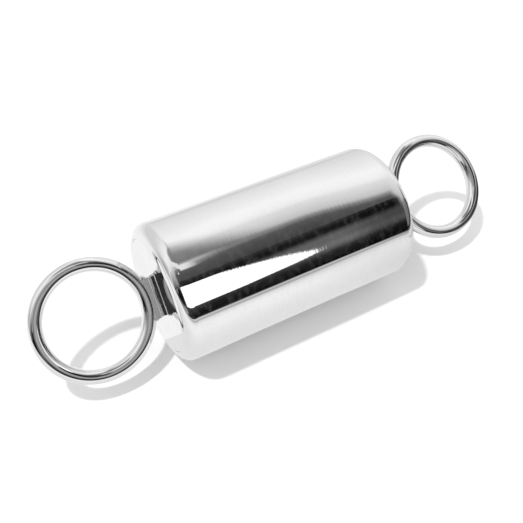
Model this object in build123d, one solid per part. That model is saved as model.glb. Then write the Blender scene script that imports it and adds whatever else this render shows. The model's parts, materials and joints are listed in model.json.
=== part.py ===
from build123d import *
import math
import os

# Double-ended magnet fishing magnet: a sealed polished cylinder with a swivelling pull ring at
# each end. Millimetres. The origin is on the casing's axis, midway between its two end faces.
# +X runs along the casing to the right end, +Z is up, and the casing lies on its side at rest.

# ---- Driving dimensions ----------------------------------------------------------------------
CASING_DIAMETER = 50.0
CASING_LENGTH = 92.0
SHOULDER_RADIUS = 4.5
WALL = 2.0
RING_BAR_DIAMETER = 5.0
RING_INSIDE_DIAMETER = 32.0
SHANK_DIAMETER = 8.0
MAGNET_COUNT = 4
MAGNET_LENGTH = 7.5
INNER_POLE_LENGTH = 3.0
END_POLE_LENGTH = 6.0
CORE_DIAMETER = 8.0

# Distance from the end face to the centre of the ring's bar, where the ring is nearest the face.
LEFT_RING_STANDOFF = 3.8
RIGHT_RING_STANDOFF = 9.8

# Lean of each ring's flat away from horizontal, about the casing's axis, as the part lies at rest.
LEFT_RING_LEAN = 49.3
RIGHT_RING_LEAN = 40.5

# ---- Clearances ------------------------------------------------------------------------------
SLIDE = 0.03
RUNNING = 0.04
LOOSE = 0.2

# ---- Worked-out sizes ------------------------------------------------------------------------
HALF_LENGTH = CASING_LENGTH / 2
OUTER_RADIUS = CASING_DIAMETER / 2
BORE_RADIUS = OUTER_RADIUS - WALL
MOUTH_RADIUS = OUTER_RADIUS - SHOULDER_RADIUS
INNER_SHOULDER_RADIUS = SHOULDER_RADIUS - WALL
BAR_RADIUS = RING_BAR_DIAMETER / 2
RING_MEAN_RADIUS = RING_INSIDE_DIAMETER / 2 + BAR_RADIUS
SHANK_RADIUS = SHANK_DIAMETER / 2
CORE_RADIUS = CORE_DIAMETER / 2
STACK_HALF_LENGTH = (
    MAGNET_COUNT * MAGNET_LENGTH + (MAGNET_COUNT - 1) * INNER_POLE_LENGTH + 2 * END_POLE_LENGTH
) / 2

# ---- End plate and its seals: depths are measured inwards from the end face --------------------
PLATE_DEPTH = 10.0
SEAM_CHAMFER = 0.15
PLATE_EDGE_CHAMFER = 0.5
CASING_SEAL_SECTION = 2.2
CASING_SEAL_DEPTH = 7.2
CASING_GROOVE_WIDTH = 2.9
SHAFT_SEAL_SECTION = 1.5
SHAFT_SEAL_DEPTH = 2.2
SHAFT_GROOVE_WIDTH = 1.9

# ---- Bush, thrust washer, nut and pin on the shank ---------------------------------------------
BUSH_START_DEPTH = 4.0
BUSH_WALL = 2.0
BUSH_FLANGE_RADIUS = 9.0
BUSH_FLANGE_LENGTH = 1.2
THRUST_WASHER_RADIUS = 8.0
THRUST_WASHER_LENGTH = 1.2
STUD_NUT_ACROSS_FLATS = 13.0
STUD_NUT_LENGTH = 6.4
AXIAL_PLAY = 0.05
SHANK_TIP_BEYOND_NUT = 0.6
LOCK_PIN_RADIUS = 1.0
LOCK_PIN_BORE_RADIUS = 0.6
LOCK_PIN_SLIT = 0.5
LOCK_PIN_LENGTH = 12.4

# ---- Lug under the ring, on a low plinth at the left end and a round neck at the right end --------
LUG_HEIGHT_ABOVE_FACE = 0.9
LUG_WIDTH = 14.5
LUG_THICKNESS = 4.6
LUG_EDGE_RADIUS = 0.4
WELD_BEAD_RADIUS = 1.0
PLINTH_INSET = 0.2
PLINTH_CLEARANCE = 0.1
SHANK_RECESS = 0.2
NECK_RADIUS = 6.0
FACE_WASHER_LENGTH = 0.8
FACE_WASHER_RADIUS = 6.5

# ---- Magnet stack ------------------------------------------------------------------------------
MAGNET_RADIUS = 22.5
POLE_RADIUS = 22.9
MAGNET_EDGE_CHAMFER = 0.4
POLE_EDGE_CHAMFER = 0.3
CORE_NUT_ACROSS_FLATS = 13.0
CORE_NUT_LENGTH = 4.0
CORE_NUT_POCKET_RADIUS = 8.5
SPACER_INSIDE_RADIUS = 19.0
SPRING_THICKNESS = 0.5
SPRING_HEIGHT = 1.5
SPRING_WAVES = 4
SPRING_HALF_POINTS = 16
SPRING_CLEARANCE = 0.12
NUT_CHAMFER_ANGLE = 30.0


# ---- Small helpers -----------------------------------------------------------------------------
def axial_cylinder(radius, start, end):
    """A solid cylinder on the X axis, from x = start to x = end."""
    plane = Plane(origin=(start, 0, 0), x_dir=(0, 1, 0), z_dir=(1, 0, 0))
    return extrude(plane * Circle(radius), amount=end - start)


def axial_tube(outer_radius, inner_radius, start, end):
    """A hollow cylinder on the X axis."""
    return axial_cylinder(outer_radius, start, end) - axial_cylinder(inner_radius, start - 1, end + 1)


def revolved(profile_edges):
    """A solid of revolution about the X axis from a closed outline in the XY plane, y > 0."""
    return revolve(make_face(profile_edges), axis=Axis.X, revolution_arc=360)


def axial_torus(mean_radius, section_radius, x):
    """An O-ring shape round the X axis."""
    plane = Plane(origin=(x, 0, 0), x_dir=(0, 1, 0), z_dir=(1, 0, 0))
    return plane * Torus(mean_radius, section_radius)


def chamfered_disc(outer_radius, inner_radius, start, end, size):
    """A ring-shaped disc with its outer edges chamfered."""
    disc = axial_cylinder(outer_radius, start, end)
    rims = disc.edges().filter_by(GeomType.CIRCLE)
    return chamfer(rims, size) - axial_cylinder(inner_radius, start - 1, end + 1)


def hex_nut(across_flats, thread_radius, start, end):
    """A hexagon nut on the X axis, with its corners taken off by a cone at both ends."""
    plane = Plane(origin=(start, 0, 0), x_dir=(0, 1, 0), z_dir=(1, 0, 0))
    flats_radius = across_flats / 2
    corner_radius = flats_radius / math.cos(math.pi / 6)
    drop = (corner_radius - flats_radius) * math.tan(math.radians(NUT_CHAMFER_ANGLE))
    hexagon = extrude(plane * RegularPolygon(corner_radius, 6), amount=end - start)
    outline = Polyline(
        (start, 0),
        (start, flats_radius),
        (start + drop, corner_radius),
        (end - drop, corner_radius),
        (end, flats_radius),
        (end, 0),
        close=True,
    )
    rounded = hexagon & revolved(outline)
    return rounded - axial_cylinder(thread_radius, start - 1, end + 1)


def save(node, shape):
    """Write one piece, or one group of identical pieces, to its own file."""
    shape.label = node
    export_step(shape, f"parts/{node}.step")


def at_left_end(shape):
    """Turn a piece made for the right end round to the left end, keeping +Z up."""
    return Rot(0, 0, 180) * shape


# ---- Casing ------------------------------------------------------------------------------------
def casing_tube():
    """A tube with both ends rolled inwards to a rounded shoulder and a round mouth."""
    straight_end = HALF_LENGTH - SHOULDER_RADIUS
    lip_inside = HALF_LENGTH - WALL
    outer_bend = math.sqrt(0.5) * SHOULDER_RADIUS
    inner_bend = math.sqrt(0.5) * INNER_SHOULDER_RADIUS

    def half_outline(side):
        outer_arc = ThreePointArc(
            (side * straight_end, OUTER_RADIUS),
            (side * (straight_end + outer_bend), MOUTH_RADIUS + outer_bend),
            (side * HALF_LENGTH, MOUTH_RADIUS),
        )
        mouth = Line((side * HALF_LENGTH, MOUTH_RADIUS), (side * lip_inside, MOUTH_RADIUS))
        inner_arc = ThreePointArc(
            (side * lip_inside, MOUTH_RADIUS),
            (side * (straight_end + inner_bend), MOUTH_RADIUS + inner_bend),
            (side * straight_end, BORE_RADIUS),
        )
        return [outer_arc, mouth, inner_arc]

    outside = Line((-straight_end, OUTER_RADIUS), (straight_end, OUTER_RADIUS))
    inside = Line((-straight_end, BORE_RADIUS), (straight_end, BORE_RADIUS))
    return revolved([outside, inside, *half_outline(1), *half_outline(-1)])


def end_plate():
    """The disc that closes the right end: flush boss in the mouth, flange under the shoulder."""
    boss_radius = MOUTH_RADIUS - SLIDE
    flange_radius = BORE_RADIUS - SLIDE
    boss_step = HALF_LENGTH - WALL - SLIDE
    straight_end = HALF_LENGTH - SHOULDER_RADIUS
    corner_radius = flange_radius - boss_radius
    bend = math.sqrt(0.5) * corner_radius
    arc_centre_x = boss_step - corner_radius
    inner_face = HALF_LENGTH - PLATE_DEPTH
    outline = [
        Polyline(
            (inner_face, 0),
            (HALF_LENGTH, 0),
            (HALF_LENGTH, boss_radius - SEAM_CHAMFER),
            (HALF_LENGTH - SEAM_CHAMFER, boss_radius),
            (boss_step, boss_radius),
        ),
        ThreePointArc(
            (boss_step, boss_radius),
            (arc_centre_x + bend, boss_radius + bend),
            (arc_centre_x, flange_radius),
        ),
        Polyline(
            (arc_centre_x, flange_radius),
            (inner_face + PLATE_EDGE_CHAMFER, flange_radius),
            (inner_face, flange_radius - PLATE_EDGE_CHAMFER),
            (inner_face, 0),
        ),
    ]
    plate = revolved(outline)

    groove_centre = HALF_LENGTH - CASING_SEAL_DEPTH
    plate -= axial_tube(
        OUTER_RADIUS,
        BORE_RADIUS - CASING_SEAL_SECTION,
        groove_centre - CASING_GROOVE_WIDTH / 2,
        groove_centre + CASING_GROOVE_WIDTH / 2,
    )
    plate -= axial_cylinder(SHANK_RADIUS + LOOSE, 0, HALF_LENGTH + 1)
    plate -= axial_cylinder(SHANK_RADIUS + BUSH_WALL + SLIDE / 2, 0, HALF_LENGTH - BUSH_START_DEPTH)
    seal_centre = HALF_LENGTH - SHAFT_SEAL_DEPTH
    plate -= axial_cylinder(
        SHANK_RADIUS + RUNNING + SHAFT_SEAL_SECTION,
        seal_centre - SHAFT_GROOVE_WIDTH / 2,
        seal_centre + SHAFT_GROOVE_WIDTH / 2,
    )
    return plate


def casing_seal():
    """The O-ring between end plate and tube."""
    section_radius = CASING_SEAL_SECTION / 2
    return axial_torus(BORE_RADIUS - section_radius, section_radius - SLIDE / 2, HALF_LENGTH - CASING_SEAL_DEPTH)


def shaft_seal():
    """The O-ring between end plate and shank. It stays with the casing while the shank turns."""
    section_radius = SHAFT_SEAL_SECTION / 2
    mean_radius = SHANK_RADIUS + RUNNING + section_radius
    return axial_torus(mean_radius, section_radius - SLIDE / 2, HALF_LENGTH - SHAFT_SEAL_DEPTH)


def swivel_bush():
    """The flanged bush pressed into the end plate from inside."""
    sleeve_start = HALF_LENGTH - PLATE_DEPTH - BUSH_FLANGE_LENGTH
    flange_end = HALF_LENGTH - PLATE_DEPTH
    sleeve_end = HALF_LENGTH - BUSH_START_DEPTH - SLIDE
    sleeve = axial_cylinder(SHANK_RADIUS + BUSH_WALL, sleeve_start, sleeve_end)
    flange = axial_cylinder(BUSH_FLANGE_RADIUS, sleeve_start, flange_end)
    return sleeve + flange - axial_cylinder(SHANK_RADIUS + RUNNING, sleeve_start - 1, sleeve_end + 1)


# ---- Swivelling eye: every piece here turns together about the X axis -----------------------------
THRUST_WASHER_END = HALF_LENGTH - PLATE_DEPTH - BUSH_FLANGE_LENGTH - AXIAL_PLAY
NUT_END = THRUST_WASHER_END - THRUST_WASHER_LENGTH
NUT_START = NUT_END - STUD_NUT_LENGTH
SHANK_TIP = NUT_START - SHANK_TIP_BEYOND_NUT
LOCK_PIN_X = (NUT_START + NUT_END) / 2


def pull_ring(standoff):
    """The welded ring, flat in the XY plane before it is leaned over."""
    return Pos(HALF_LENGTH + standoff + RING_MEAN_RADIUS, 0, 0) * Torus(RING_MEAN_RADIUS, BAR_RADIUS)


def lug(standoff, lug_foot):
    """The block under the ring, hollowed to the ring's bar, with a weld bead at each side."""
    ring_centre = HALF_LENGTH + standoff + RING_MEAN_RADIUS
    ring_outer_radius = RING_MEAN_RADIUS + BAR_RADIUS
    half_width = LUG_WIDTH / 2
    lug_reach = ring_centre - math.sqrt(RING_MEAN_RADIUS**2 - half_width**2)
    bead_x = ring_centre - math.sqrt(ring_outer_radius**2 - half_width**2)
    block = Pos((lug_foot + lug_reach) / 2, 0, 0) * Box(lug_reach - lug_foot, LUG_WIDTH, LUG_THICKNESS)
    foot_edges = block.faces().sort_by(Axis.X)[0].edges()
    block = fillet(foot_edges, LUG_EDGE_RADIUS)
    for side in (-1, 1):
        block += Pos(bead_x, side * half_width, 0) * Sphere(WELD_BEAD_RADIUS)
    block -= Pos(ring_centre, 0, 0) * Cylinder(RING_MEAN_RADIUS, 2 * LUG_THICKNESS)
    return block - Pos(ring_centre, 0, 0) * Torus(RING_MEAN_RADIUS, BAR_RADIUS + SLIDE / 2)


def plinth(lug_foot):
    """The lug's foot, close above the end face, and the flatted end of the shank that it stands on."""
    start = HALF_LENGTH + PLINTH_CLEARANCE
    end = lug_foot + LUG_EDGE_RADIUS
    width = LUG_WIDTH - 2 * PLINTH_INSET
    thickness = LUG_THICKNESS - 2 * PLINTH_INSET
    foot = Pos((start + end) / 2, 0, 0) * Box(end - start, width, thickness)
    flatted = axial_cylinder(SHANK_RADIUS, HALF_LENGTH - 2 * SHANK_RECESS, start)
    return foot + (flatted & Pos(start, 0, 0) * Box(SHANK_DIAMETER, width, thickness))


def neck(lug_foot):
    """The round neck between face washer and lug."""
    start = HALF_LENGTH + AXIAL_PLAY + FACE_WASHER_LENGTH + SLIDE
    body = axial_cylinder(NECK_RADIUS, start, lug_foot)
    return chamfer(body.edges().filter_by(GeomType.CIRCLE), LUG_EDGE_RADIUS)


def eye_stud(standoff):
    """Lug, plinth or neck, and shank, made from one bar."""
    lug_foot = HALF_LENGTH + LUG_HEIGHT_ABOVE_FACE + standoff - LEFT_RING_STANDOFF
    stud = lug(standoff, lug_foot)
    if standoff > LEFT_RING_STANDOFF:
        stud += neck(lug_foot) + axial_cylinder(SHANK_RADIUS, SHANK_TIP, lug_foot + LUG_EDGE_RADIUS)
    else:
        stud += plinth(lug_foot) + axial_cylinder(SHANK_RADIUS, SHANK_TIP, HALF_LENGTH - SHANK_RECESS)
    return stud - lock_pin_hole()


def lock_pin_hole():
    """The cross hole that the spring pin sits in."""
    return Pos(LOCK_PIN_X, 0, 0) * Cylinder(LOCK_PIN_RADIUS + SLIDE / 2, 2 * STUD_NUT_ACROSS_FLATS)


def face_washer():
    """The thin washer under the round neck."""
    start = HALF_LENGTH + AXIAL_PLAY
    return axial_tube(FACE_WASHER_RADIUS, SHANK_RADIUS + SLIDE, start, start + FACE_WASHER_LENGTH)


def thrust_washer():
    """The washer that the rope's pull presses on the bush flange."""
    start = THRUST_WASHER_END - THRUST_WASHER_LENGTH
    return axial_tube(THRUST_WASHER_RADIUS, SHANK_RADIUS + SLIDE, start, THRUST_WASHER_END)


def stud_nut():
    """The nut on the shank, cross-drilled for the pin."""
    nut = hex_nut(STUD_NUT_ACROSS_FLATS, SHANK_RADIUS + SLIDE / 2, NUT_START, NUT_END - SLIDE)
    return nut - lock_pin_hole()


def lock_pin():
    """A slotted spring pin, through nut and shank."""
    pin = Cylinder(LOCK_PIN_RADIUS, LOCK_PIN_LENGTH) - Cylinder(LOCK_PIN_BORE_RADIUS, LOCK_PIN_LENGTH + 2)
    slit = Pos(LOCK_PIN_RADIUS, 0, 0) * Box(2 * LOCK_PIN_RADIUS, LOCK_PIN_SLIT, LOCK_PIN_LENGTH + 2)
    return Pos(LOCK_PIN_X, 0, 0) * (pin - slit)


def leaned(shape, lean):
    """Turn an eye's piece about the X axis so that its ring leans back to its angle at rest."""
    return Rot(lean, 0, 0) * shape


# ---- Magnet stack ------------------------------------------------------------------------------
def core_rod():
    """The rod that the stack is threaded on."""
    rod = axial_cylinder(CORE_RADIUS, -STACK_HALF_LENGTH, STACK_HALF_LENGTH)
    return chamfer(rod.edges().filter_by(GeomType.CIRCLE), MAGNET_EDGE_CHAMFER)


def magnet(start):
    """One ring magnet, a little smaller than the poles so that they take the knocks."""
    end = start + MAGNET_LENGTH - SLIDE
    return chamfered_disc(MAGNET_RADIUS, CORE_RADIUS + LOOSE, start, end, MAGNET_EDGE_CHAMFER)


def inner_pole(start):
    """One steel disc between two magnets."""
    end = start + INNER_POLE_LENGTH - SLIDE
    return chamfered_disc(POLE_RADIUS, CORE_RADIUS + SLIDE, start, end, POLE_EDGE_CHAMFER)


def end_pole():
    """The right end disc, with a pocket that hides the core nut."""
    start = STACK_HALF_LENGTH - END_POLE_LENGTH
    disc = chamfered_disc(POLE_RADIUS, CORE_RADIUS + SLIDE, start, STACK_HALF_LENGTH, POLE_EDGE_CHAMFER)
    pocket_start = STACK_HALF_LENGTH - CORE_NUT_LENGTH
    return disc - axial_cylinder(CORE_NUT_POCKET_RADIUS, pocket_start, STACK_HALF_LENGTH + 1)


def core_nut():
    """The thin nut in the right end disc's pocket."""
    start = STACK_HALF_LENGTH - CORE_NUT_LENGTH + SLIDE
    return hex_nut(CORE_NUT_ACROSS_FLATS, CORE_RADIUS + SLIDE / 2, start, STACK_HALF_LENGTH)


def spacer_ring(end_gap):
    """The ring between the stack and the right end plate, short of the plate by end_gap."""
    start = STACK_HALF_LENGTH + SLIDE
    end = HALF_LENGTH - PLATE_DEPTH - SLIDE - end_gap
    return axial_tube(POLE_RADIUS, SPACER_INSIDE_RADIUS, start, end)


def wave_spring():
    """A wave washer between the right spacer ring and the right end plate."""
    outer_radius = POLE_RADIUS - LOOSE
    middle_radius = (SPACER_INSIDE_RADIUS + outer_radius) / 2
    swing = (SPRING_HEIGHT - SPRING_THICKNESS) / 2 - SPRING_CLEARANCE
    middle_x = HALF_LENGTH - PLATE_DEPTH - SLIDE - SPRING_HEIGHT / 2
    points = []
    for step in range(SPRING_HALF_POINTS + 1):
        angle = math.pi * step / SPRING_HALF_POINTS
        x = middle_x + swing * math.cos(SPRING_WAVES * angle)
        points.append((x, middle_radius * math.cos(angle), middle_radius * math.sin(angle)))
    path = Spline(*points, tangents=[(0, 0, 1), (0, 0, -1)])
    guide = ThreePointArc(
        (middle_x, SHANK_RADIUS, 0), (middle_x, 0, SHANK_RADIUS), (middle_x, -SHANK_RADIUS, 0)
    )
    section_plane = Plane(origin=points[0], x_dir=(0, 1, 0), z_dir=(0, 0, 1))
    section = section_plane * Rectangle(outer_radius - SPACER_INSIDE_RADIUS, SPRING_THICKNESS)
    half_ring = sweep(section, path=path, binormal=guide)
    return half_ring + Rot(180, 0, 0) * half_ring


# ---- Build and save every piece ------------------------------------------------------------------
def build_ends():
    """The pieces that both ends have."""
    ends = [
        ("right", lambda shape: shape, RIGHT_RING_STANDOFF, RIGHT_RING_LEAN),
        ("left", at_left_end, LEFT_RING_STANDOFF, -LEFT_RING_LEAN),
    ]
    for name, place, standoff, lean in ends:
        save(f"{name}_end_plate", place(end_plate()))
        save(f"{name}_casing_seal", place(casing_seal()))
        save(f"{name}_shaft_seal", place(shaft_seal()))
        save(f"{name}_swivel_bush", place(swivel_bush()))
        save(f"{name}_end_pole", place(end_pole()))
        save(f"{name}_core_nut", place(core_nut()))
        save(f"{name}_thrust_washer", place(thrust_washer()))
        save(f"{name}_pull_ring", place(leaned(pull_ring(standoff), lean)))
        save(f"{name}_eye_stud", place(leaned(eye_stud(standoff), lean)))
        save(f"{name}_stud_nut", place(leaned(stud_nut(), lean)))
        save(f"{name}_lock_pin", place(leaned(lock_pin(), lean)))
    save("right_face_washer", face_washer())


def build_stack():
    """Magnets and poles, from left to right, with the rod, spacers and spring."""
    save("core_rod", core_rod())
    start = END_POLE_LENGTH - STACK_HALF_LENGTH + SLIDE / 2
    for number in range(1, MAGNET_COUNT + 1):
        save(f"magnet_{number}", magnet(start))
        start += MAGNET_LENGTH
        if number < MAGNET_COUNT:
            save(f"inner_pole_{number}", inner_pole(start))
            start += INNER_POLE_LENGTH
    save("left_spacer_ring", at_left_end(spacer_ring(0)))
    save("right_spacer_ring", spacer_ring(SPRING_HEIGHT))
    save("preload_wave_spring", wave_spring())


os.makedirs("parts", exist_ok=True)
save("casing_tube", casing_tube())
build_ends()
build_stack()
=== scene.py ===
import json
import math

import bpy
from mathutils import Matrix, Vector


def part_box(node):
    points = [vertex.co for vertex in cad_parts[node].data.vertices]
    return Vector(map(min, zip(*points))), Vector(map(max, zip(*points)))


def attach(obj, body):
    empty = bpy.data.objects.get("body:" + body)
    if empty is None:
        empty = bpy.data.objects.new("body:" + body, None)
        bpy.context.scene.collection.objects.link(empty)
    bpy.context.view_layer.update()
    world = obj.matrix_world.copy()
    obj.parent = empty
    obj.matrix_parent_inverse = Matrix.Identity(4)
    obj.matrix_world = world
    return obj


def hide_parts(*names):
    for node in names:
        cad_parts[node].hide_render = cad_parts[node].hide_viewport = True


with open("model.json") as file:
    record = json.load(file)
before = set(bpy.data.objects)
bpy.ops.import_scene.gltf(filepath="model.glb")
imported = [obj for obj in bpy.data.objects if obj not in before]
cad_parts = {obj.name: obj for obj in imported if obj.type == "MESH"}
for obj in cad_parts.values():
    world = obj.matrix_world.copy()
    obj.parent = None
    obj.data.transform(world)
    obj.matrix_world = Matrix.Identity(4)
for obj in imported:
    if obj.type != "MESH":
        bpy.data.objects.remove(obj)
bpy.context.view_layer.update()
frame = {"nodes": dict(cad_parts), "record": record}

# ---- Sizes read from the frame, in metres --------------------------------------------------------
MILLIMETRE = 0.001
nodes = frame["nodes"]
subparts = frame["record"]["subparts"]
mounts = {mount["name"]: mount for mount in frame["record"]["mounts"]}
tube_low, tube_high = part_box("casing_tube")
casing_diameter = tube_high.z - tube_low.z
half_length = (tube_high.x - tube_low.x) / 2
floor_level = tube_low.z


class Eye:
    """One swivelling eye's ring: its centre, its outward direction, its flat's normal and its sizes."""

    def __init__(self, side):
        self.side = side
        mount = mounts[f"{side}_rope_eye"]
        ring_low, ring_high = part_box(f"{side}_pull_ring")
        hole_radius = mount["dims"]["r_mm"] * MILLIMETRE
        outer_radius = (ring_high.x - ring_low.x) / 2
        self.bar_radius = (outer_radius - hole_radius) / 2
        self.mean_radius = hole_radius + self.bar_radius
        self.centre = Vector(mount["pos_m"])
        self.normal = Vector(mount["axis"]).normalized()
        self.outward = Vector((1 if side == "right" else -1, 0, 0))
        self.tangent = self.normal.cross(self.outward)


# ---- Mesh helpers --------------------------------------------------------------------------------
SHARP_DEGREES = 40


def mesh_object(name, vertices, faces):
    """A smooth-shaded mesh object, sharp where its faces meet at more than SHARP_DEGREES."""
    mesh = bpy.data.meshes.new(name)
    mesh.from_pydata([tuple(v) for v in vertices], [], faces)
    mesh.update()
    for polygon in mesh.polygons:
        polygon.use_smooth = True
    mesh.set_sharp_from_angle(angle=math.radians(SHARP_DEGREES))
    made = bpy.data.objects.new(name, mesh)
    bpy.context.scene.collection.objects.link(made)
    return made


def closed_grid_faces(rows, columns):
    """Quads between neighbouring rows of a grid that closes on itself both ways."""
    faces = []
    for row in range(rows):
        following = (row + 1) % rows
        for column in range(columns):
            beside = (column + 1) % columns
            faces.append(
                (row * columns + column, row * columns + beside,
                 following * columns + beside, following * columns + column)
            )
    return faces


def face_outwards(made):
    """Makes a closed mesh's faces point outwards."""
    mesh = made.data
    volume = sum(
        mesh.vertices[p.vertices[0]].co.dot(
            mesh.vertices[p.vertices[k]].co.cross(mesh.vertices[p.vertices[k + 1]].co)
        )
        for p in mesh.polygons
        for k in range(1, len(p.vertices) - 1)
    )
    if volume < 0:
        mesh.flip_normals()


# ---- Node helpers --------------------------------------------------------------------------------
def grey(value):
    """A colour with equal channels."""
    return (value, value, value, 1.0)


def add_node(tree, kind, inputs=None, **settings):
    """A shader node with its settings and inputs set. An input may be a value or another output."""
    made = tree.nodes.new(kind)
    for key, value in settings.items():
        setattr(made, key, value)
    for key, value in (inputs or {}).items():
        if isinstance(value, bpy.types.NodeSocket):
            tree.links.new(value, made.inputs[key])
        else:
            made.inputs[key].default_value = value
    return made


def calculate(tree, operation, first, second=0.0):
    """The result of a maths node."""
    return add_node(tree, "ShaderNodeMath", {0: first, 1: second}, operation=operation).outputs[0]


def product(tree, first, *factors):
    """The product of several numbers."""
    for factor in factors:
        first = calculate(tree, "MULTIPLY", first, factor)
    return first


def distance_from(tree, value, middle):
    """How far a number is from a middle value."""
    return calculate(tree, "ABSOLUTE", calculate(tree, "SUBTRACT", value, middle))


def faded(tree, value, low, high, out_low=0.0, out_high=1.0):
    """value mapped smoothly from low..high to out_low..out_high. The fades below are these numbers."""
    return add_node(
        tree,
        "ShaderNodeMapRange",
        {"Value": value, "From Min": low, "From Max": high, "To Min": out_low, "To Max": out_high},
        interpolation_type="SMOOTHSTEP",
    ).outputs["Result"]


def mixed(tree, share, first, second):
    """A number between first and second."""
    return add_node(tree, "ShaderNodeMix", {"Factor": share, "A": first, "B": second}).outputs["Result"]


def mixed_shader(tree, share, first, second):
    """A shader between first and second."""
    return add_node(tree, "ShaderNodeMixShader", {0: share, 1: first, 2: second}).outputs[0]


def separated(tree, vector):
    """The X, Y and Z of a vector."""
    return add_node(tree, "ShaderNodeSeparateXYZ", {0: vector}).outputs


def noise(tree, vector, scale, detail, roughness=0.5):
    """The value of a noise texture."""
    return add_node(
        tree,
        "ShaderNodeTexNoise",
        {"Vector": vector, "Scale": scale, "Detail": detail, "Roughness": roughness},
    ).outputs[0]


def own_place(tree):
    """Object coordinates, in metres."""
    return add_node(tree, "ShaderNodeTexCoord").outputs["Object"]


def stretched(tree, scales):
    """Object coordinates stretched by a factor along each axis."""
    return add_node(tree, "ShaderNodeMapping", {"Vector": own_place(tree), "Scale": scales}).outputs["Vector"]


def new_material(name):
    """A material with its node tree and its main shader."""
    material = bpy.data.materials.new(name)
    material.use_nodes = True
    tree = material.node_tree
    return material, tree, tree.nodes["Principled BSDF"]


def set_surface(tree, shader_output):
    """Makes a shader output the material's surface."""
    tree.links.new(shader_output, tree.nodes["Material Output"].inputs["Surface"])


def set_bump(tree, shader, height, distance, strength=1.0):
    """Roughens a shader's surface by a height pattern, distance deep in metres."""
    bump = add_node(tree, "ShaderNodeBump", {"Height": height, "Distance": distance, "Strength": strength})
    tree.links.new(bump.outputs["Normal"], shader.inputs["Normal"])


# ---- Metals: polishing marks, clouds in colour and roughness, worn specks and patches of haze ------
# Scales are per metre. The marks' fade is in shares of marks_end, and a range is of the noise's values.
MARKS_DETAIL = 3.0
MARKS_BREAK_UP = 0.6
MARKS_FADE_FROM, MARKS_FADE_TO, MARKS_LEFT_AT_END = 0.55, 0.85, 0.12
CLOUD_SCALE = 60.0
CLOUD_DETAIL = 3.0
CLOUD_RANGE = (0.35, 0.75)
CLOUDY_ROUGHNESS = 1.4
CLOUDY_COLOUR = 0.96
SPECK_SCALE = 2500.0
SPECK_DETAIL = 1.0
SPECK_RANGE = (0.68, 0.74)
HAZE_SCALES = (420.0, 260.0, 260.0)
HAZE_DETAIL = 5.0
HAZE_BREAK_UP = 0.65
HAZE_RANGE = (0.42, 0.72)
HAZE_ROUGHNESS = 0.5
HAZE_SHARE = 0.07


def metal(name, colour, roughness, marks_scales, marks_height, marks_end=None, haze=HAZE_SHARE):
    """A polished or machined metal.

    marks_scales stretch the noise that makes the polishing marks: large across them, small along.
    With marks_end, the marks fade out towards that distance along X from the middle. haze is how
    much of the light the cloudiest patches scatter.
    """
    material, tree, shader = new_material(name)
    place = own_place(tree)
    strength = 1.0
    if marks_end:
        from_middle = calculate(tree, "ABSOLUTE", separated(tree, place)["X"])
        fade_from = MARKS_FADE_FROM * marks_end
        fade_to = MARKS_FADE_TO * marks_end
        strength = faded(tree, from_middle, fade_from, fade_to, 1.0, MARKS_LEFT_AT_END)
    marks = noise(tree, stretched(tree, marks_scales), 1.0, MARKS_DETAIL, MARKS_BREAK_UP)
    set_bump(tree, shader, marks, marks_height, strength)

    cloud = noise(tree, place, CLOUD_SCALE, CLOUD_DETAIL)
    specks = noise(tree, place, SPECK_SCALE, SPECK_DETAIL)
    cloudy = faded(tree, cloud, *CLOUD_RANGE, roughness, CLOUDY_ROUGHNESS * roughness)
    wear_and_painted_highlight = faded(tree, specks, *SPECK_RANGE, 0.0, roughness)
    tree.links.new(calculate(tree, "ADD", cloudy, wear_and_painted_highlight), shader.inputs["Roughness"])

    darker = [channel * CLOUDY_COLOUR for channel in colour]
    tint = add_node(
        tree,
        "ShaderNodeMix",
        {"Factor": cloud, "A": (*darker, 1.0), "B": (*colour, 1.0)},
        data_type="RGBA",
    )
    tree.links.new(tint.outputs["Result"], shader.inputs["Base Color"])
    shader.inputs["Metallic"].default_value = 1.0

    patches = noise(tree, stretched(tree, HAZE_SCALES), 1.0, HAZE_DETAIL, HAZE_BREAK_UP)
    scattered = add_node(
        tree, "ShaderNodeBsdfAnisotropic", {"Color": (*colour, 1.0), "Roughness": HAZE_ROUGHNESS}
    )
    hazy_share = faded(tree, patches, *HAZE_RANGE, 0.0, haze)
    set_surface(tree, mixed_shader(tree, hazy_share, shader.outputs[0], scattered.outputs[0]))
    return material


# ---- The studs' metal ------------------------------------------------------------------------------
STUD_COLOUR = (0.8, 0.8, 0.8)
STUD_ROUGHNESS = 0.16
STUD_MARKS = (2400.0, 150.0, 150.0)
STUD_MARKS_HEIGHT = 0.03 * MILLIMETRE
# Painted shade: the studs' colour is this much darker where other metal mirrors them.
STUD_PAINTED_SHADE_IN_MIRRORS = 0.10
# Painted highlight: a near-white diffuse coat on the edges, chosen by how far their faces lean from X.
EDGE_HIGHLIGHT_LEAN_FROM, EDGE_HIGHLIGHT_LEAN_TO = 0.2, 0.93
EDGE_HIGHLIGHT_SHARE = 0.9
EDGE_HIGHLIGHT_GREY = 0.85


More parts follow.
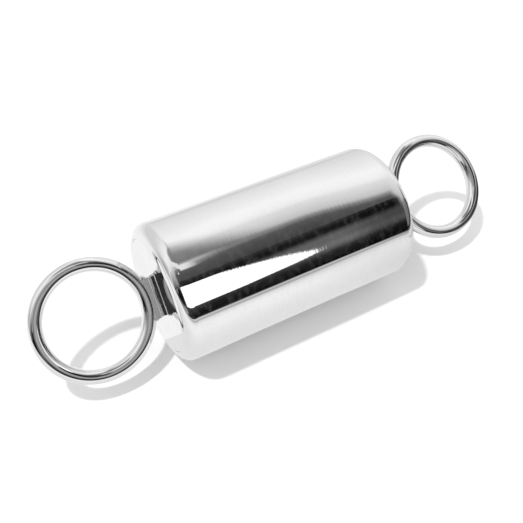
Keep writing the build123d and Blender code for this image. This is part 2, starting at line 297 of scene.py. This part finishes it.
def stud_metal(name):
    """Milled steel with coarse marks, with a painted highlight on its edges and painted shade where other
    metal mirrors it.
    """
    material = metal(name, STUD_COLOUR, STUD_ROUGHNESS, STUD_MARKS, STUD_MARKS_HEIGHT)
    tree = material.node_tree
    shader = tree.nodes["Principled BSDF"]
    # Painted shade: where other metal mirrors the stud, its colour is darkened, so its mirror image looks
    # shaded.
    rays = add_node(tree, "ShaderNodeLightPath")
    brightness = mixed(tree, rays.outputs["Is Camera Ray"], STUD_PAINTED_SHADE_IN_MIRRORS, 1.0)
    tint = shader.inputs["Base Color"].links[0].from_socket
    painted_shade_tint = add_node(tree, "ShaderNodeVectorMath", {0: tint, 3: brightness}, operation="SCALE")
    tree.links.new(painted_shade_tint.outputs[0], shader.inputs["Base Color"])

    # The edges are the faces that are neither along X nor square to it. A near-white diffuse coat on them is
    # a painted highlight.
    facing = add_node(tree, "ShaderNodeNewGeometry").outputs["True Normal"]
    lean = calculate(tree, "ABSOLUTE", separated(tree, facing)["X"])
    off_flat = calculate(tree, "GREATER_THAN", lean, EDGE_HIGHLIGHT_LEAN_FROM)
    off_end = calculate(tree, "LESS_THAN", lean, EDGE_HIGHLIGHT_LEAN_TO)
    wear_and_painted_highlight = product(tree, off_flat, off_end, EDGE_HIGHLIGHT_SHARE)
    painted_highlight_coat = add_node(tree, "ShaderNodeBsdfDiffuse", {"Color": grey(EDGE_HIGHLIGHT_GREY)})
    set_surface(tree, mixed_shader(tree, wear_and_painted_highlight, shader.outputs[0], painted_highlight_coat.outputs[0]))
    return material


# ---- Rubber ----------------------------------------------------------------------------------------
GRAIN_SCALE = 4000.0
GRAIN_DETAIL = 2.0
GRAIN_HEIGHT = 0.02 * MILLIMETRE
GRAIN_ROUGHNESS = (0.3, 0.7, 0.5, 0.75)
RUBBER_COLOUR = (0.02, 0.02, 0.022, 1.0)


def rubber(name):
    """Black nitrile rubber with a fine grain."""
    material, tree, shader = new_material(name)
    grain = noise(tree, own_place(tree), GRAIN_SCALE, GRAIN_DETAIL)
    set_bump(tree, shader, grain, GRAIN_HEIGHT)
    tree.links.new(faded(tree, grain, *GRAIN_ROUGHNESS), shader.inputs["Roughness"])
    shader.inputs["Base Color"].default_value = RUBBER_COLOUR
    return material


# ---- Materials, one for each of the record's slots --------------------------------------------------
STEEL = (0.88, 0.88, 0.88)
MIRROR_ROUGHNESS = 0.02

materials = {
    "polished_casing": metal(
        "mirror_casing",
        colour=STEEL,
        roughness=MIRROR_ROUGHNESS,
        marks_scales=(1300.0, 60.0, 60.0),
        marks_height=0.006 * MILLIMETRE,
        marks_end=half_length,
    ),
    "polished_end_plate": metal(
        "mirror_end_plate",
        colour=STEEL,
        roughness=MIRROR_ROUGHNESS,
        marks_scales=(400.0, 900.0, 900.0),
        marks_height=0.0004 * MILLIMETRE,
    ),
    "polished_ring": metal(
        "mirror_ring",
        colour=STEEL,
        roughness=MIRROR_ROUGHNESS,
        marks_scales=(900.0, 900.0, 900.0),
        marks_height=0.001 * MILLIMETRE,
        haze=0.015,
    ),
    "turned_stud": stud_metal("milled_stud"),
    "polished_washer": metal(
        "polished_washer",
        colour=(0.85, 0.85, 0.85),
        roughness=0.06,
        marks_scales=(3000.0, 300.0, 300.0),
        marks_height=0.002 * MILLIMETRE,
    ),
    "bronze_bush": metal(
        "oiled_bronze",
        colour=(0.60, 0.40, 0.20),
        roughness=0.28,
        marks_scales=(4000.0, 300.0, 300.0),
        marks_height=0.006 * MILLIMETRE,
    ),
    "machined_nut": metal(
        "machined_steel",
        colour=(0.62, 0.62, 0.63),
        roughness=0.22,
        marks_scales=(3000.0, 3000.0, 300.0),
        marks_height=0.004 * MILLIMETRE,
    ),
    "spring_steel": metal(
        "blued_spring_steel",
        colour=(0.32, 0.34, 0.40),
        roughness=0.30,
        marks_scales=(900.0, 900.0, 900.0),
        marks_height=0.004 * MILLIMETRE,
    ),
    "core_brass": metal(
        "drawn_brass",
        colour=(0.80, 0.62, 0.30),
        roughness=0.22,
        marks_scales=(300.0, 3000.0, 3000.0),
        marks_height=0.004 * MILLIMETRE,
    ),
    "nickel_magnet": metal(
        "nickel_plate",
        colour=(0.78, 0.75, 0.70),
        roughness=0.14,
        marks_scales=(1200.0, 1200.0, 1200.0),
        marks_height=0.003 * MILLIMETRE,
    ),
    "pole_steel": metal(
        "ground_steel",
        colour=(0.50, 0.50, 0.51),
        roughness=0.32,
        marks_scales=(300.0, 5000.0, 300.0),
        marks_height=0.006 * MILLIMETRE,
    ),
    "spacer_aluminium": metal(
        "turned_aluminium",
        colour=(0.80, 0.81, 0.82),
        roughness=0.26,
        marks_scales=(6000.0, 200.0, 200.0),
        marks_height=0.005 * MILLIMETRE,
    ),
    "seal_rubber": rubber("nitrile_rubber"),
}


def paint_cad_pieces():
    """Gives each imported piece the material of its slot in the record."""
    for part in subparts:
        for material_slot in nodes[part["node"]].material_slots:
            material_slot.material = materials[part["material_slot"]]


# ---- Pull rings ------------------------------------------------------------------------------------
RING_STEPS = 288
BAR_STEPS = 48
POLISH_RIPPLE = 0.012 * MILLIMETRE
SLOW_WAVES = 7
SLOW_TWIST = 2
QUICK_WAVES = 17
QUICK_SHARE = 0.6
QUICK_START = 1.3
HIGHEST_RIPPLE = (1 + QUICK_SHARE) * POLISH_RIPPLE


def ripple(turn, around):
    """How far hand polishing has left the bar's surface from a true ring, at one place on it."""
    slow = math.sin(SLOW_WAVES * turn + SLOW_TWIST * math.sin(around))
    quick = math.sin(QUICK_WAVES * turn + around + QUICK_START)
    return POLISH_RIPPLE * (slow + QUICK_SHARE * quick)


def build_ring(eye):
    """A ring of round bar, with the faint unevenness of hand polishing, nowhere thicker than true."""
    vertices = []
    for step in range(RING_STEPS):
        turn = 2 * math.pi * step / RING_STEPS
        radial = eye.outward * math.cos(turn) + eye.tangent * math.sin(turn)
        for bar_step in range(BAR_STEPS):
            around = 2 * math.pi * bar_step / BAR_STEPS
            bar = eye.bar_radius + ripple(turn, around) - HIGHEST_RIPPLE
            reach = eye.mean_radius + bar * math.cos(around)
            vertices.append(eye.centre + radial * reach + eye.normal * (bar * math.sin(around)))
    made = mesh_object(f"{eye.side}_pull_ring_bar", vertices, closed_grid_faces(RING_STEPS, BAR_STEPS))
    face_outwards(made)
    made.data.materials.append(materials["polished_ring"])
    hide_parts(f"{eye.side}_pull_ring")
    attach(made, f"{eye.side}_eye")
    return made


# ---- Floor -----------------------------------------------------------------------------------------
# The sheet's reach and its front edge, in casing diameters, and its paper.
FLOOR_REACH = 60
FLOOR_FRONT_EDGE = 16
PAPER_WHITE = 0.93
PAPER_ROUGHNESS = 0.9
FIBRE_SCALE = 1500.0
FIBRE_DETAIL = 3.0
FIBRE_HEIGHT = 0.01 * MILLIMETRE

# Painted shade on the glow that the metal sees in place of the sheet, as fades over the distance to the
# front, in casing diameters.
FAR_BEHIND = (-7.0, -1.0, 0.82, 1.0)
JUST_IN_FRONT = (0.4, 1.6, 0.85, 1.0)
GREYING = (2.0, 3.6, 1.0, 0.80)
# Painted shade: a darker line across the sheet, further out in front, from its near side to its far side.
DARK_LINE_NEAR_SIDE = (3.4, 4.0, 1.0, 0.60)
DARK_LINE_FAR_SIDE = (4.6, 5.6, 0.0, 0.36)
GOING_DARK = (5.2, 8.5, 1.0, 0.02)

# The same painted shade over the distance to the right. Each dark part also has its own stretch to the front.
RIGHT_GREYING = (0.3, 1.4, 1.0, 0.88)
RIGHT_DARK = (3.2, 4.8, 0.0, 0.85)
RIGHT_DARK_IN_FRONT = (0.3, 1.5)
RING_DARK = (1.95, 2.5, 0.0, 0.93)
RING_DARK_IN_FRONT = (-0.35, 0.1)
RING_DARK_END = (2.0, 2.7, 1.0, 0.0)

# A painted contact shadow: the dark line close under the casing, which narrows towards its ends.
CONTACT = (0.29, 0.385, 0.45, 1.0)
CONTACT_NARROWER = (0.35, 0.75, 0.0, 0.045)
CONTACT_MIDDLE = 0.2
CONTACT_HALF_LENGTH = 1.0


def floor_shade(tree, place):
    """How bright the metal shows the sheet, all painted shade: greyer behind and in front, dark far out, and
    a painted contact shadow under the casing.
    """
    parts = separated(tree, place)
    to_front = calculate(tree, "DIVIDE", parts["Y"], -casing_diameter)
    to_right = calculate(tree, "DIVIDE", parts["X"], casing_diameter)
    in_front = calculate(tree, "GREATER_THAN", to_front, 0.0)
    near = mixed(tree, in_front, 1.0, faded(tree, to_front, *JUST_IN_FRONT))
    dark_line = calculate(
        tree, "ADD", faded(tree, to_front, *DARK_LINE_NEAR_SIDE), faded(tree, to_front, *DARK_LINE_FAR_SIDE)
    )
    right_dark = product(
        tree, faded(tree, to_right, *RIGHT_DARK), faded(tree, to_front, *RIGHT_DARK_IN_FRONT)
    )
    ring_dark = product(
        tree,
        faded(tree, to_right, *RING_DARK),
        faded(tree, to_front, *RING_DARK_IN_FRONT),
        faded(tree, to_front, *RING_DARK_END),
    )

    # The painted contact shadow under the casing.
    narrower = faded(tree, calculate(tree, "ABSOLUTE", to_right), *CONTACT_NARROWER)
    from_line = calculate(tree, "ADD", calculate(tree, "ABSOLUTE", to_front), narrower)
    along_line = distance_from(tree, to_right, CONTACT_MIDDLE)
    beside_line = calculate(tree, "LESS_THAN", along_line, CONTACT_HALF_LENGTH)
    painted_contact_shadow = mixed(tree, beside_line, 1.0, faded(tree, from_line, *CONTACT))

    return product(
        tree,
        faded(tree, to_front, *FAR_BEHIND),
        near,
        faded(tree, to_front, *GREYING),
        dark_line,
        faded(tree, to_front, *GOING_DARK),
        faded(tree, to_right, *RIGHT_GREYING),
        calculate(tree, "SUBTRACT", 1.0, right_dark),
        calculate(tree, "SUBTRACT", 1.0, ring_dark),
        painted_contact_shadow,
    )


def build_floor():
    """A wide sheet of white paper that the casing lies on, with its front edge out of view."""
    reach = FLOOR_REACH * casing_diameter
    front = -FLOOR_FRONT_EDGE * casing_diameter
    corners = [
        (-reach, front, floor_level), (reach, front, floor_level),
        (reach, reach, floor_level), (-reach, reach, floor_level),
    ]
    made = mesh_object("floor", corners, [(0, 1, 2, 3)])
    material, tree, shader = new_material("white_paper")
    place = own_place(tree)
    set_bump(tree, shader, noise(tree, place, FIBRE_SCALE, FIBRE_DETAIL), FIBRE_HEIGHT)
    shader.inputs["Base Color"].default_value = grey(PAPER_WHITE)
    shader.inputs["Roughness"].default_value = PAPER_ROUGHNESS
    shader.inputs["Specular IOR Level"].default_value = 0.0

    # The metal sees a painted reflection of the sheet: a glow, darkened by the painted shade and painted
    # contact shadow of floor_shade. The camera and plain surfaces see the lit paper.
    glow = add_node(tree, "ShaderNodeEmission", {"Color": grey(1.0), "Strength": floor_shade(tree, place)})
    mirrored = add_node(tree, "ShaderNodeLightPath").outputs["Is Glossy Ray"]
    set_surface(tree, mixed_shader(tree, mirrored, shader.outputs[0], glow.outputs[0]))
    made.data.materials.append(material)


# ---- Glowing panels: the softbox and the cards that the metal mirrors --------------------------------
# Each corner is (over, along): over is the angle in degrees from straight up towards the front, along
# the angle towards the right end.
PANEL_DISTANCE = 400 * casing_diameter
SOFTBOX_GLOW = 1.3
SOFTBOX_CORNERS = [
    (42.3, 14), (43.3, 17.6), (46.8, 19.3), (54.6, 22.6), (66.4, 25.6), (71.2, 25.6), (73.6, 24),
    (76.4, 19.2), (77.0, 14),
]
SOFTBOX_WING_CORNERS = [(42.3, 14), (77.0, 14), (77.0, -35), (42.3, -40)]
RIGHT_CARD_GLOW = 0.14
RIGHT_CARD_CORNERS = [(50, 33.5), (98, 33.5), (98, 80), (50, 80)]
RING_CARD_GLOW = 0.25
RING_CARD_CORNERS = [(10, 6), (50, 10), (48, -42), (12, -42)]

# The softbox is near, so the left ring mirrors it further right, and the right ring further left.
LEFT_RING_SOFTBOX_GLOW = 0.8
LEFT_RING_SOFTBOX_CORNERS = [(27, 34), (27, 42), (57, 42), (64, 30), (64, 19), (51, 19), (44, 28)]
RIGHT_RING_SOFTBOX_GLOW = 0.75
RIGHT_RING_SOFTBOX_CORNERS = [(61, -50), (65, -15), (74, 0), (90, 0), (90, -50)]

# The part of the floor that only the casing mirrors bright: its corners, in casing diameters to the right
# and to the front, and its height above the floor.
FLOOR_CARD_GLOW = 0.65
FLOOR_CARD_CORNERS = [(2.25, -0.1), (4.0, -0.1), (4.0, 2.3), (2.25, 2.3)]
FLOOR_CARD_HEIGHT = 0.02


def emitter(name, radiance):
    """A clear material that glows. What is behind it shows through."""
    material = bpy.data.materials.new(name)
    material.use_nodes = True
    tree = material.node_tree
    tree.nodes.clear()
    glow = add_node(tree, "ShaderNodeEmission", {"Color": grey(1.0), "Strength": radiance})
    window = add_node(tree, "ShaderNodeBsdfTransparent")
    both = add_node(tree, "ShaderNodeAddShader", {0: glow.outputs[0], 1: window.outputs[0]})
    output = add_node(tree, "ShaderNodeOutputMaterial")
    tree.links.new(both.outputs[0], output.inputs["Surface"])
    return material


def direction(over, along):
    """A unit vector from the two angles above, in degrees."""
    over = math.radians(over)
    along = math.radians(along)
    return Vector((math.sin(along), -math.cos(along) * math.sin(over), math.cos(along) * math.cos(over)))


def far_out(corners):
    """A far panel's corners, from directions (over, along)."""
    return [direction(*corner) * PANEL_DISTANCE for corner in corners]


def on_floor(corners):
    """Corners just above the floor, from casing diameters to the right and to the front."""
    height = floor_level + FLOOR_CARD_HEIGHT * casing_diameter
    return [Vector((right * casing_diameter, -front * casing_diameter, height)) for right, front in corners]


def build_panel(name, radiance, points, seen_by):
    """A flat glowing panel that only the given objects mirror."""
    made = mesh_object(name, points, [tuple(range(len(points)))])
    made.data.materials.append(emitter(name, radiance))
    made.visible_camera = False
    made.visible_diffuse = False
    made.visible_shadow = False
    receivers = bpy.data.collections.new(f"{name}_receivers")
    for mirror in seen_by:
        receivers.objects.link(mirror)
    made.light_linking.receiver_collection = receivers


def build_panels(left, right):
    """The softbox and the cards, each linked to what mirrors it: the casing, or the left or right ring."""
    casing = [nodes["casing_tube"]]
    rings = [left, right]
    build_panel("front_softbox", SOFTBOX_GLOW, far_out(SOFTBOX_CORNERS), casing)
    build_panel("softbox_wing", SOFTBOX_GLOW, far_out(SOFTBOX_WING_CORNERS), casing)
    build_panel("right_card", RIGHT_CARD_GLOW, far_out(RIGHT_CARD_CORNERS), casing)
    build_panel("ring_card", RING_CARD_GLOW, far_out(RING_CARD_CORNERS), rings)
    build_panel("left_ring_softbox", LEFT_RING_SOFTBOX_GLOW, far_out(LEFT_RING_SOFTBOX_CORNERS), [left])
    build_panel("right_ring_softbox", RIGHT_RING_SOFTBOX_GLOW, far_out(RIGHT_RING_SOFTBOX_CORNERS), [right])
    build_panel("floor_card", FLOOR_CARD_GLOW, on_floor(FLOOR_CARD_CORNERS), casing)


# ---- World: the white studio and the dark room at its front and right, by the same two angles --------
# The even white that plain surfaces and the camera see, and where the front begins, in degrees over.
SOFT_LIGHT = 0.88
FRONT_FROM = 34

# Brightness against an angle in degrees: past the ceiling's dark edge, and over for the other three.
CEILING = [
    (-180, 0.80), (-105, 0.80), (-90, 0.87), (-66, 0.98), (-52, 1.06), (-41, 1.04), (-33, 0.98),
    (-27, 0.83), (-21, 0.78), (-15, 0.71), (-8, 0.62), (-3, 0.28), (3, 0.105), (9, 0.085),
    (15, 0.072), (27, 0.040), (180, 0.035),
]
FRONT = [
    (FRONT_FROM, 0.035), (38, 0.020), (40, 0.010), (46, 0.012), (48, 0.045), (54, 0.13), (60, 0.13),
    (67, 0.17), (72, 0.13), (78, 0.035), (83, 0.016), (91, 0.008), (98, 0.006), (180, 0.5),
]
LEFT_SIDE = [
    (-180, 0.75), (-90, 0.72), (-60, 0.74), (-45, 0.82), (-30, 0.93), (-15, 1.00), (0, 0.88), (10, 0.60),
    (20, 0.48), (28, 0.36), (36, 0.26), (39, 0.12), (42, 0.12), (46, 0.35), (56, 0.38), (63, 0.20),
    (68, 0.06), (80, 0.08), (88, 0.30), (93, 0.75), (180, 0.75),
]
RIGHT_SIDE = [
    (-180, 0.80), (-60, 0.86), (-36, 0.93), (-18, 1.00), (0, 0.86), (20, 0.74), (36, 0.58), (44, 0.40),
    (50, 0.18), (56, 0.07), (70, 0.05), (90, 0.06), (98, 0.10), (106, 0.60), (180, 0.60),
]

# The ceiling's dark edge, in degrees over. It lies further forward at the right and at the far left.
CEILING_EDGE = 12.0
EDGE_AT_RIGHT = (25.0, 33.0, 0.0, 14.0)
EDGE_AT_LEFT = (15.5, 19.5, 6.0, 0.0)
FRONT_DARKER_RIGHT = (28.0, 31.5, 1.0, 0.5)

# Smoke overhead: its depth up to a slanting line at its right, and how it ends at the back and front.
SMOKE_LEAN = 0.2
SMOKE_ACROSS = (16.5, 23.5, 0.70, 0.0)
SMOKE_TOP = (-46.0, -18.0)
SMOKE_FOOT = (5.0, 12.0, 1.0, 0.0)

# Ovals, each by its centre and its radii as (over, along), and the fade at its edge.
GREY_CARD = ((56.0, -6.0), (12.0, 24.0))
GREY_CARD_EDGE = (0.7, 1.0, 0.28, 0.0)
BLACK_FLAG = ((62.0, -55.0), (20.0, 17.0))
BLACK_FLAG_EDGE = (0.85, 1.05, 0.03, 1.0)
PIN_LAMP = ((21.5, -9.5), (2.2, 6.0))
PIN_LAMP_EDGE = (0.6, 1.2, 0.7, 0.0)

# Where the two sides begin, in degrees along, and how they darken far out.
LEFT_FROM_TOP = (-26.0, -12.0, 4.0, -18.0)
LEFT_FROM_FOOT = (5.0, 22.0, 0.0, -22.0)
LEFT_SOFTNESS = (-8.0, 8.0, 1.0, 0.0)
RIGHT_FROM = (24.0, 40.0, 32.6, 32.95)
RIGHT_SOFTNESS = (0.0, 0.5)
FAR_LEFT = (-70.0, -50.0, 0.6, 1.0)
FAR_RIGHT = (62.0, 74.0, 1.0, 0.35)
FAR_RIGHT_IN_FRONT = (-30.0, 0.0)

# A bright streak that leans back towards the left and ends at the casing's left shoulder.
STREAK_LEAN = 0.3
STREAK_OVER = 9.3
STREAK_ACROSS = (3.0, 7.0, 0.88, 0.0)
STREAK_END = (15.3, 17.2, 1.0, 0.0)


def oval(tree, over, along, place, edge):
    """An oval patch: edge is the fade over the distance from its centre, which is 1 on its outline."""
    squares = []
    for angle, middle, radius in zip((over, along), *place):
        offset = calculate(tree, "DIVIDE", calculate(tree, "SUBTRACT", angle, middle), radius)
        squares.append(calculate(tree, "MULTIPLY", offset, offset))
    return faded(tree, calculate(tree, "SQRT", calculate(tree, "ADD", *squares)), *edge)


def angle_ramp(tree, angle, stops):
    """Brightness against an angle in degrees, straight between stops."""
    share = add_node(
        tree,
        "ShaderNodeMapRange",
        {"Value": angle, "From Min": -180.0, "From Max": 180.0, "To Min": 0.0, "To Max": 1.0},
    ).outputs["Result"]
    ramp = add_node(tree, "ShaderNodeValToRGB", {"Fac": share})
    elements = ramp.color_ramp.elements
    while len(elements) < len(stops):
        elements.new(1.0)
    for element, (degrees, value) in zip(elements, stops):
        element.position = (degrees + 180) / 360
        element.color = grey(value)
    return ramp.outputs["Color"]


def middle_of_room(tree, over, along):
    """Ceiling and dark front, with the smoke over them and the grey card in front."""
    edge = calculate(tree, "ADD", faded(tree, along, *EDGE_AT_RIGHT), faded(tree, along, *EDGE_AT_LEFT))
    past_edge = calculate(tree, "SUBTRACT", over, calculate(tree, "ADD", edge, CEILING_EDGE))
    ceiling = angle_ramp(tree, past_edge, CEILING)
    front = product(tree, angle_ramp(tree, over, FRONT), faded(tree, along, *FRONT_DARKER_RIGHT))
    room = mixed(tree, calculate(tree, "GREATER_THAN", over, FRONT_FROM), ceiling, front)

    across = calculate(tree, "SUBTRACT", along, calculate(tree, "MULTIPLY", over, SMOKE_LEAN))
    smoke = product(
        tree,
        faded(tree, across, *SMOKE_ACROSS),
        faded(tree, over, *SMOKE_TOP),
        faded(tree, over, *SMOKE_FOOT),
    )
    room = product(tree, room, calculate(tree, "SUBTRACT", 1.0, smoke))
    return calculate(tree, "ADD", room, oval(tree, over, along, GREY_CARD, GREY_CARD_EDGE))


def with_sides(tree, over, along, middle):
    """The room from its middle and its two sides, with a black flag at the left. Both darken far out."""
    left_from = calculate(
        tree, "ADD", faded(tree, over, *LEFT_FROM_TOP), faded(tree, over, *LEFT_FROM_FOOT)
    )
    beyond_left = faded(tree, calculate(tree, "SUBTRACT", along, left_from), *LEFT_SOFTNESS)
    flag = oval(tree, over, along, BLACK_FLAG, BLACK_FLAG_EDGE)
    left = product(tree, angle_ramp(tree, over, LEFT_SIDE), flag)
    room = mixed(tree, beyond_left, middle, left)

    right_from = faded(tree, over, *RIGHT_FROM)
    beyond_right = faded(tree, calculate(tree, "SUBTRACT", along, right_from), *RIGHT_SOFTNESS)
    room = mixed(tree, beyond_right, room, angle_ramp(tree, over, RIGHT_SIDE))

    far_right = mixed(tree, faded(tree, over, *FAR_RIGHT_IN_FRONT), 1.0, faded(tree, along, *FAR_RIGHT))
    return product(tree, room, faded(tree, along, *FAR_LEFT), far_right)


def bright_streak(tree, over, along):
    """The streak: bright near a slanting line, up to its end."""
    leaning = calculate(tree, "SUBTRACT", over, calculate(tree, "MULTIPLY", along, STREAK_LEAN))
    across = distance_from(tree, leaning, STREAK_OVER)
    return product(tree, faded(tree, across, *STREAK_ACROSS), faded(tree, along, *STREAK_END))


def build_world():
    """The studio as the metal mirrors it. Plain surfaces and the camera see an even white instead."""
    world = bpy.data.worlds.new("studio")
    bpy.context.scene.world = world
    world.use_nodes = True
    tree = world.node_tree
    tree.nodes.clear()
    look = separated(tree, add_node(tree, "ShaderNodeTexCoord").outputs["Generated"])
    to_front = calculate(tree, "MULTIPLY", look["Y"], -1.0)
    over = calculate(tree, "DEGREES", calculate(tree, "ARCTAN2", to_front, look["Z"]))
    along = calculate(tree, "DEGREES", calculate(tree, "ARCSINE", look["X"]))

    room = with_sides(tree, over, along, middle_of_room(tree, over, along))
    pin = oval(tree, over, along, PIN_LAMP, PIN_LAMP_EDGE)
    lamps = calculate(tree, "MAXIMUM", bright_streak(tree, over, along), pin)
    mirrored = calculate(tree, "MAXIMUM", room, lamps)

    rays = add_node(tree, "ShaderNodeLightPath").outputs
    plain = calculate(tree, "MAXIMUM", rays["Is Diffuse Ray"], rays["Is Camera Ray"])
    brightness = mixed(tree, plain, mirrored, SOFT_LIGHT)
    background = add_node(tree, "ShaderNodeBackground", {"Color": grey(1.0), "Strength": brightness})
    output = add_node(tree, "ShaderNodeOutputWorld")
    tree.links.new(background.outputs[0], output.inputs["Surface"])


# ---- Key light and camera, placed in casing diameters -------------------------------------------------
LAMP_DIRECTION = Vector((-0.377, -0.018, 1.0))
LAMP_DISTANCE = 21
LAMP_SIZE = 1.1
LAMP_WATTS = 5.6
CAMERA_PLACE = Vector((-1.983, -3.093, 3.660))
CAMERA_TARGET = Vector((-0.135, -0.064, 0.0))
CAMERA_ROLL = 1.79
CAMERA_LENS = 49.4
CAMERA_SENSOR = 36.0
CAMERA_NEAREST = 0.01
CAMERA_FURTHEST = 100.0


def build_key_light():
    """A small soft lamp, almost overhead and a little to the left, which the metal doesn't show."""
    lamp = bpy.data.lights.new("key_lamp", "AREA")
    lamp.shape = "DISK"
    lamp.size = LAMP_SIZE * casing_diameter
    lamp.energy = LAMP_WATTS
    made = bpy.data.objects.new("key_lamp", lamp)
    made.location = LAMP_DIRECTION * LAMP_DISTANCE * casing_diameter
    made.rotation_mode = "QUATERNION"
    made.rotation_quaternion = (-made.location).to_track_quat("-Z", "Y")
    made.visible_glossy = False
    bpy.context.scene.collection.objects.link(made)


def build_camera():
    """The camera, in front of the left end, looking down at the casing."""
    camera = bpy.data.cameras.new("camera")
    camera.sensor_width = CAMERA_SENSOR
    camera.lens = CAMERA_LENS
    camera.clip_start = CAMERA_NEAREST
    camera.clip_end = CAMERA_FURTHEST
    made = bpy.data.objects.new("camera", camera)
    place = CAMERA_PLACE * casing_diameter
    target = CAMERA_TARGET * casing_diameter
    level_aim = (target - place).to_track_quat("-Z", "Y").to_matrix()
    aim = level_aim @ Matrix.Rotation(math.radians(CAMERA_ROLL), 3, "Z")
    made.location = place
    made.rotation_mode = "QUATERNION"
    made.rotation_quaternion = aim.to_quaternion()
    bpy.context.scene.collection.objects.link(made)
    bpy.context.scene.camera = made


# ---- Build everything ----------------------------------------------------------------------------------
paint_cad_pieces()
left_ring = build_ring(Eye("left"))
right_ring = build_ring(Eye("right"))
build_floor()
build_world()
build_key_light()
build_camera()
build_panels(left_ring, right_ring)
bpy.context.scene.view_settings.view_transform = "Standard"
